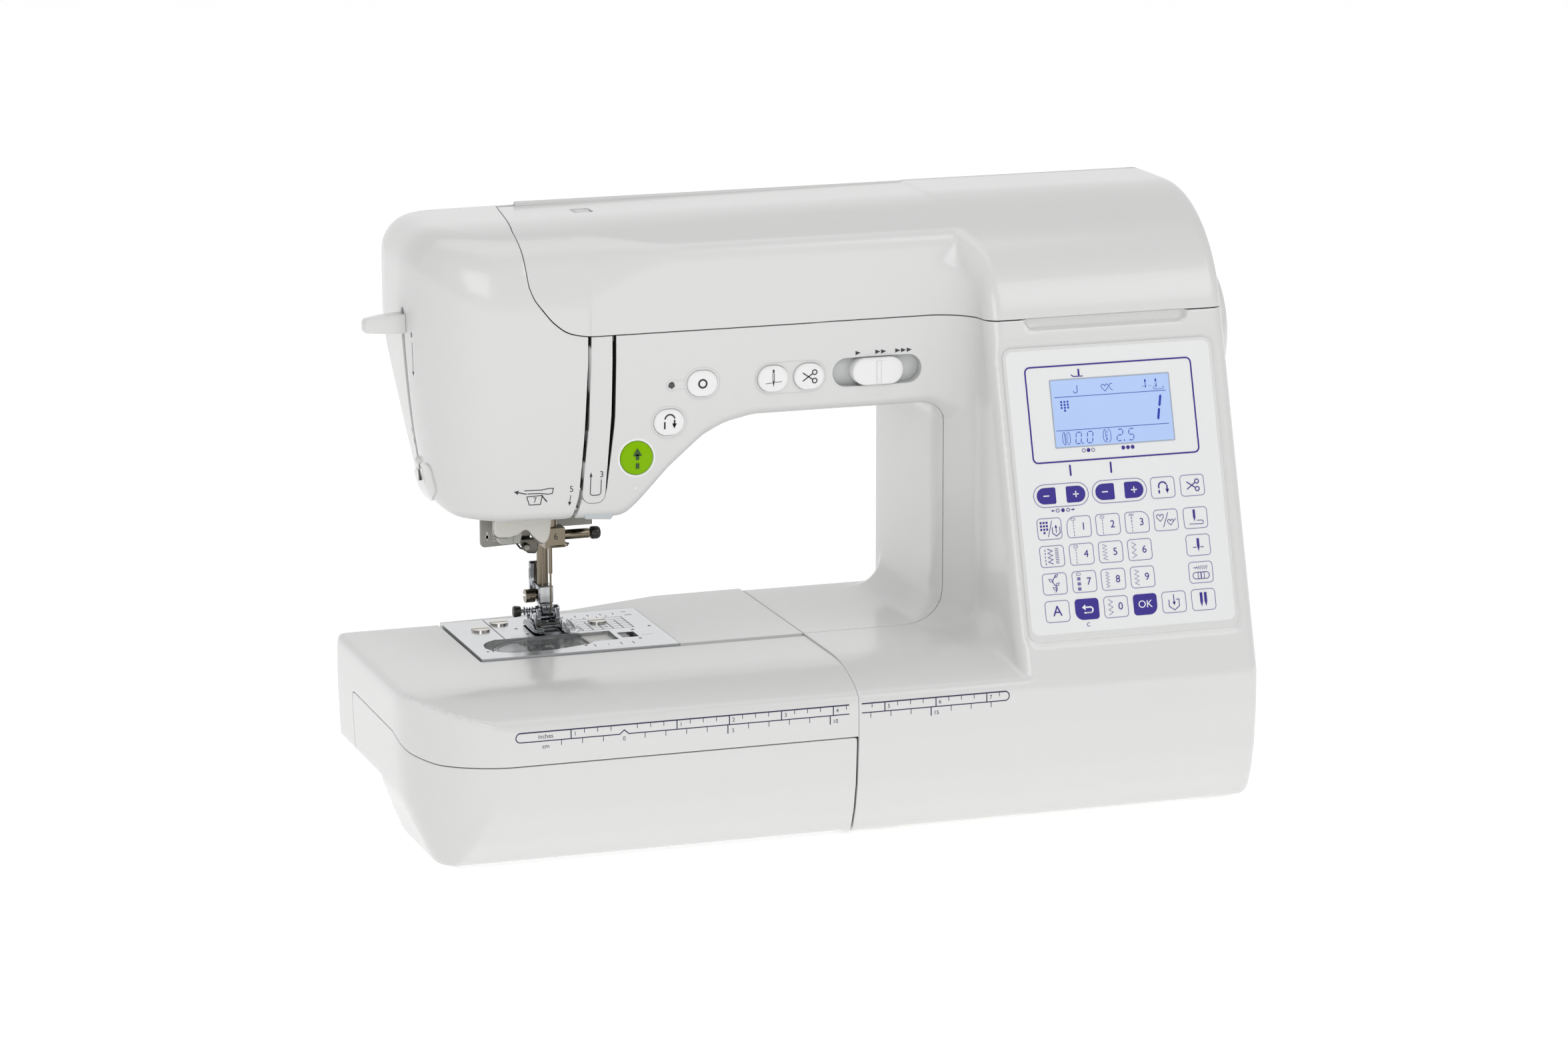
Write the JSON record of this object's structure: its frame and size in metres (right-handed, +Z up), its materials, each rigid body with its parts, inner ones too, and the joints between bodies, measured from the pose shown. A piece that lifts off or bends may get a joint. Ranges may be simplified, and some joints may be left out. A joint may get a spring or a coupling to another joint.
{
  "type": "sewing machine",
  "caption": "Free-arm household sewing machine with slide-off flat-bed table, hinged lid, handwheel, needle and presser mechanism, rotary hook and control panel.",
  "frame": {"origin": "middle of the footprint, on the surface that the machine stands on", "axes": "+X to the operator's right, towards the handwheel; +Y away from the operator; +Z up"},
  "size_m": [0.4363, 0.1818, 0.2869],
  "materials": {
    "white_cover": "glossy moulded cover",
    "grey_plastic": "satin moulding",
    "white_key": "glossy key",
    "lime_key": "translucent lime key",
    "panel_print": "printed membrane",
    "display": "backlit liquid crystal display",
    "circuit_board": "solder mask",
    "rubber": "matt rubber",
    "cast_metal": "as cast",
    "steel": "ground",
    "plate_steel": "brushed",
    "chrome": "polished",
    "black_plastic": "satin",
    "clear_plastic": "clear moulding"
  },
  "bodies": {
    "frame": {"front_cover": "white_cover", "rear_cover": "white_cover", "face_cover": "white_cover", "top_tray": "grey_plastic", "base_plate": "grey_plastic", "feet": "rubber", "free_arm_cover": "white_cover", "panel_sheet": "panel_print", "lcd_module": "display", "main_board": "circuit_board", "arm_casting": "cast_metal", "bed_casting": "cast_metal", "timing_belt": "rubber", "motor": "steel", "motor_belt": "rubber", "bobbin_case": "black_plastic", "needle_plate": "plate_steel", "plate_screws": "steel", "thread_strip": "white_cover", "spool_pin": "grey_plastic", "power_inlet": "black_plastic"},
    "table": {"table_shell": "white_cover"},
    "storage_door": {"table_door": "white_cover"},
    "top_lid": {"lid": "white_cover"},
    "handle": {"carry_handle": "grey_plastic"},
    "drive": {"arm_shaft": "steel", "handwheel": "white_cover", "upper_pulley": "black_plastic"},
    "rotor": {"motor_rotor": "steel"},
    "lower_drive": {"lower_shaft": "steel", "lower_pulley": "black_plastic", "lower_gear": "steel"},
    "rotary_hook": {"hook": "steel"},
    "bobbin_spool": {"bobbin": "clear_plastic"},
    "needle_carrier": {"needle_bar": "steel", "needle": "steel"},
    "needle_clamp_screw": {"clamp_screw": "steel"},
    "presser": {"presser_bar": "steel", "foot_holder": "chrome"},
    "foot": {"presser_foot": "chrome"},
    "holder_screw": {"foot_screw": "steel"},
    "lifter": {"lifter_lever": "grey_plastic"},
    "take_up": {"take_up_lever": "steel"},
    "threader_slide": {"threader_lever": "white_cover"},
    "threader_hook": {"threader_head": "grey_plastic"},
    "start_key": {"start_button": "lime_key"},
    "reverse_key": {"reverse_button": "white_key"},
    "reinforce_key": {"reinforce_button": "white_key"},
    "needle_key": {"needle_button": "white_key"},
    "cutter_key": {"cutter_button": "white_key"},
    "speed_knob": {"speed_slider": "white_key"},
    "clear_cover": {"bobbin_cover": "clear_plastic"},
    "latch": {"cover_latch": "black_plastic"},
    "carriage": {"feed_carriage": "cast_metal"},
    "feed": {"feed_dog": "steel"},
    "drop_switch": {"drop_lever": "grey_plastic"},
    "winder": {"winder_spindle": "white_cover"},
    "cap": {"spool_cap": "white_cover"},
    "dial": {"tension_dial": "grey_plastic"},
    "mains_switch": {"power_switch": "black_plastic"}
  },
  "joints": [
    {"name": "table_slide", "type": "slide", "parent": "frame", "child": "table", "axis": [-1, 0, 0], "range_m": [0, 0.24]},
    {"name": "door_hinge", "type": "hinge", "parent": "table", "child": "storage_door", "pos_m": [-0.0072, -0.0888, 0.048], "axis": [0, 0, 1], "range_deg": [0, 100]},
    {"name": "lid_hinge", "type": "hinge", "parent": "frame", "child": "top_lid", "pos_m": [0.033, 0.06, 0.2842], "axis": [1, 0, 0], "range_deg": [-95, 0]},
    {"name": "handle_hinge", "type": "hinge", "parent": "frame", "child": "handle", "pos_m": [-0.002, 0.074, 0.272], "axis": [1, 0, 0], "range_deg": [0, 150]},
    {"name": "drive_spin", "type": "hinge", "parent": "frame", "child": "drive", "pos_m": [0.083, 0.032, 0.211], "axis": [1, 0, 0], "continuous": true},
    {"name": "rotor_spin", "type": "hinge", "parent": "frame", "child": "rotor", "pos_m": [0.133, 0.01, 0.12], "axis": [1, 0, 0], "continuous": true},
    {"name": "lower_spin", "type": "hinge", "parent": "frame", "child": "lower_drive", "pos_m": [0.003, 0.032, 0.042], "axis": [1, 0, 0], "continuous": true},
    {"name": "hook_spin", "type": "hinge", "parent": "frame", "child": "rotary_hook", "pos_m": [-0.117, 0.014, 0.05], "axis": [0, 0, 1], "continuous": true},
    {"name": "bobbin_spin", "type": "hinge", "parent": "frame", "child": "bobbin_spool", "pos_m": [-0.117, 0.014, 0.06], "axis": [0, 0, 1], "continuous": true},
    {"name": "needle_stroke", "type": "slide", "parent": "frame", "child": "needle_carrier", "axis": [0, 0, 1], "range_m": [-0.0318, 0]},
    {"name": "clamp_turn", "type": "hinge", "parent": "needle_carrier", "child": "needle_clamp_screw", "pos_m": [-0.105, 0.032, 0.1285], "axis": [1, 0, 0], "range_deg": [0, 180]},
    {"name": "presser_lift", "type": "slide", "parent": "frame", "child": "presser", "axis": [0, 0, 1], "range_m": [0, 0.007]},
    {"name": "foot_tilt", "type": "hinge", "parent": "presser", "child": "foot", "pos_m": [-0.117, 0.04, 0.0905], "axis": [1, 0, 0], "range_deg": [-3.5, 1]},
    {"name": "holder_screw_turn", "type": "hinge", "parent": "presser", "child": "holder_screw", "pos_m": [-0.124, 0.046, 0.0963], "axis": [1, 0, 0], "range_deg": [0, 180]},
    {"name": "lifter_hinge", "type": "hinge", "parent": "frame", "child": "lifter", "pos_m": [-0.104, 0.07, 0.172], "axis": [1, 0, 0], "range_deg": [0, 50]},
    {"name": "take_up_hinge", "type": "hinge", "parent": "frame", "child": "take_up", "pos_m": [-0.112, 0.025, 0.196], "axis": [1, 0, 0], "range_deg": [0, 45]},
    {"name": "threader_pull", "type": "slide", "parent": "frame", "child": "threader_slide", "axis": [0, 0, -1], "range_m": [0, 0.066]},
    {"name": "threader_drop", "type": "slide", "parent": "frame", "child": "threader_hook", "axis": [0, 0, -1], "range_m": [0, 0.02]},
    {"name": "start_press", "type": "slide", "parent": "frame", "child": "start_key", "axis": [0, 1, 0], "range_m": [0, 0.001], "stiffness_N_per_m": 300},
    {"name": "reverse_press", "type": "slide", "parent": "frame", "child": "reverse_key", "axis": [0, 1, 0], "range_m": [0, 0.001], "stiffness_N_per_m": 300},
    {"name": "reinforce_press", "type": "slide", "parent": "frame", "child": "reinforce_key", "axis": [0, 1, 0], "range_m": [0, 0.001], "stiffness_N_per_m": 300},
    {"name": "needle_press", "type": "slide", "parent": "frame", "child": "needle_key", "axis": [0, 1, 0], "range_m": [0, 0.001], "stiffness_N_per_m": 300},
    {"name": "cutter_press", "type": "slide", "parent": "frame", "child": "cutter_key", "axis": [0, 1, 0], "range_m": [0, 0.001], "stiffness_N_per_m": 300},
    {"name": "speed_slide", "type": "slide", "parent": "frame", "child": "speed_knob", "axis": [1, 0, 0], "range_m": [-0.009, 0.009]},
    {"name": "cover_lift", "type": "slide", "parent": "frame", "child": "clear_cover", "axis": [0, 0, 1], "range_m": [0, 0.025]},
    {"name": "latch_slide", "type": "slide", "parent": "frame", "child": "latch", "axis": [1, 0, 0], "range_m": [0, 0.004], "stiffness_N_per_m": 150},
    {"name": "carriage_drop", "type": "slide", "parent": "frame", "child": "carriage", "axis": [0, 0, 1], "range_m": [-0.004, 0]},
    {"name": "feed_stroke", "type": "slide", "parent": "carriage", "child": "feed", "axis": [0, 1, 0], "range_m": [-0.0018, 0.0018]},
    {"name": "drop_slide", "type": "slide", "parent": "frame", "child": "drop_switch", "axis": [1, 0, 0], "range_m": [0, 0.01]},
    {"name": "winder_spin", "type": "hinge", "parent": "frame", "child": "winder", "pos_m": [0.173, 0.015, 0.236], "axis": [0, 0, 1], "continuous": true},
    {"name": "cap_slide", "type": "slide", "parent": "frame", "child": "cap", "axis": [-1, 0, 0], "range_m": [0, 0.045]},
    {"name": "dial_turn", "type": "hinge", "parent": "frame", "child": "dial", "pos_m": [-0.099, 0.035, 0.2745], "axis": [1, 0, 0], "range_deg": [-150, 150]},
    {"name": "switch_rock", "type": "hinge", "parent": "frame", "child": "mains_switch", "pos_m": [0.196, -0.021, 0.057], "axis": [0, 1, 0], "range_deg": [-6, 6]}
  ],
  "couplings": [
    {"joint": "rotor_spin", "follows": "drive_spin", "ratio": 4},
    {"joint": "lower_spin", "follows": "drive_spin", "ratio": 1},
    {"joint": "hook_spin", "follows": "drive_spin", "ratio": 2},
    {"joint": "lifter_hinge", "follows": "presser_lift", "rad_per_m": 124.6},
    {"joint": "threader_drop", "follows": "threader_pull", "ratio": 0.3},
    {"joint": "carriage_drop", "follows": "drop_slide", "ratio": -0.4}
  ]
}
